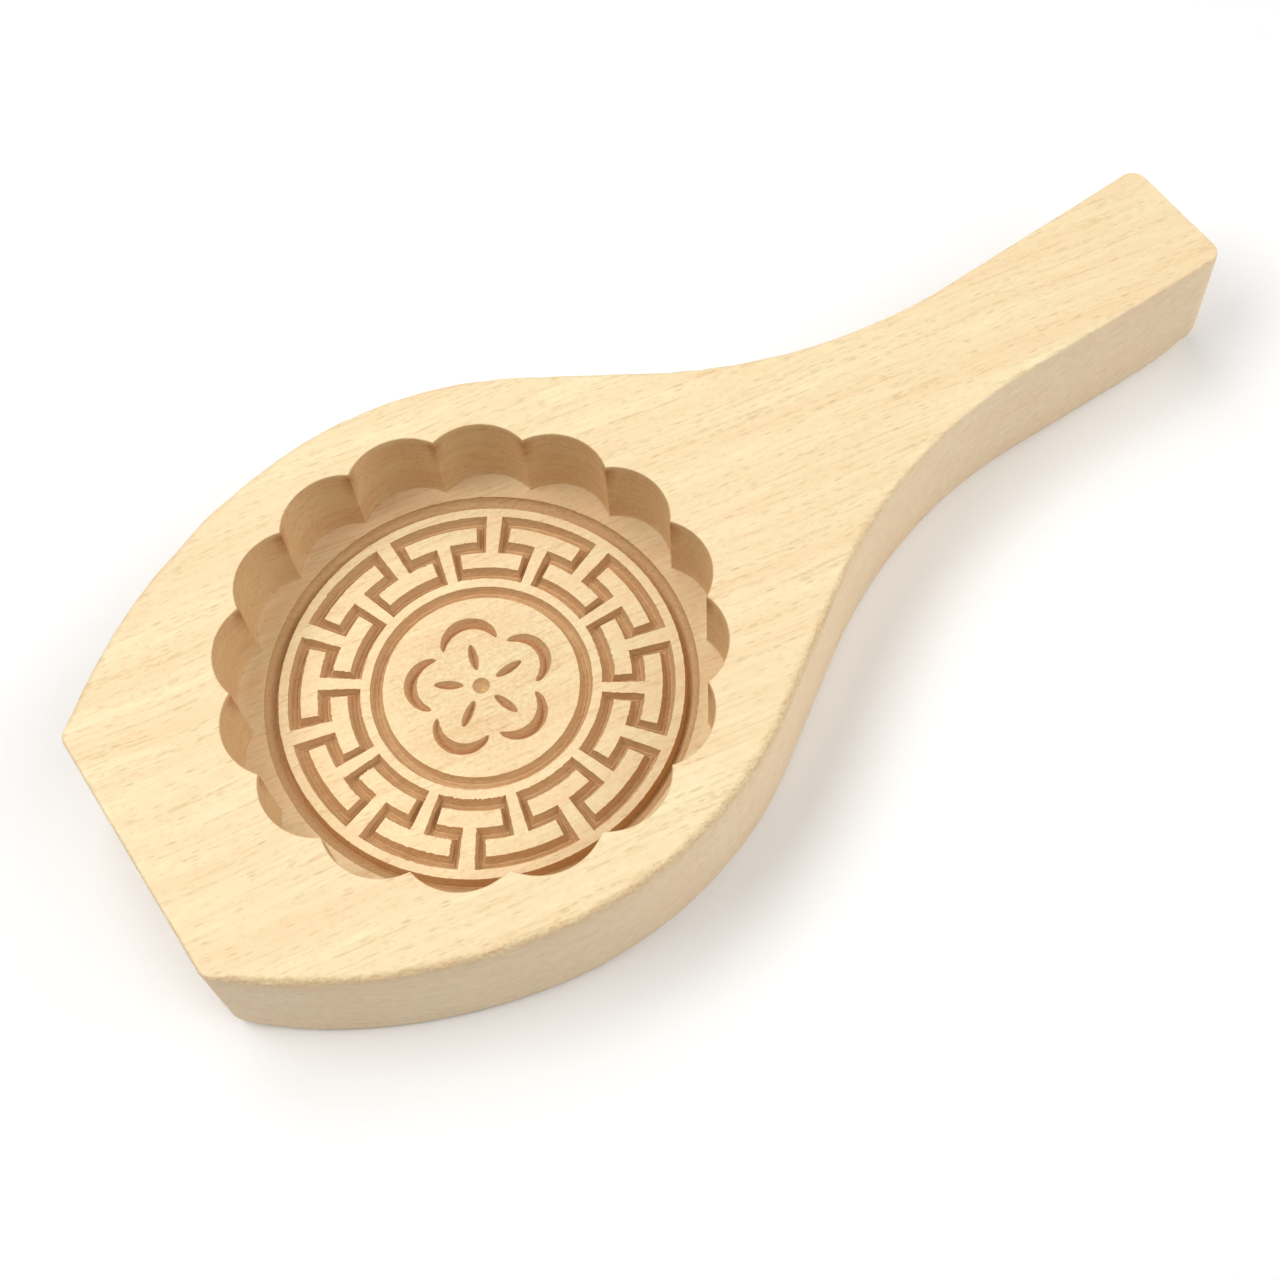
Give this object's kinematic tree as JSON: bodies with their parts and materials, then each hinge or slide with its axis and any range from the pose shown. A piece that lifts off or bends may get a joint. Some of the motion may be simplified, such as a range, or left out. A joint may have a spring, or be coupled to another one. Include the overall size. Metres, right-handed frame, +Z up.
{
  "type": "mooncake mold",
  "caption": "Wooden paddle-shaped press mold with a scalloped round cavity whose floor is carved with a fret border and a blossom, for shaping filled cakes.",
  "frame": {"origin": "on the flat base, straight below the centre of the cavity", "axes": "+X along the handle towards its butt, +Z up out of the cavity's mouth, +Y to the side"},
  "size_m": [0.184, 0.0872, 0.022],
  "materials": {
    "beech": "sanded, unvarnished"
  },
  "bodies": {
    "root": {"mold_body": "beech"}
  },
  "joints": []
}
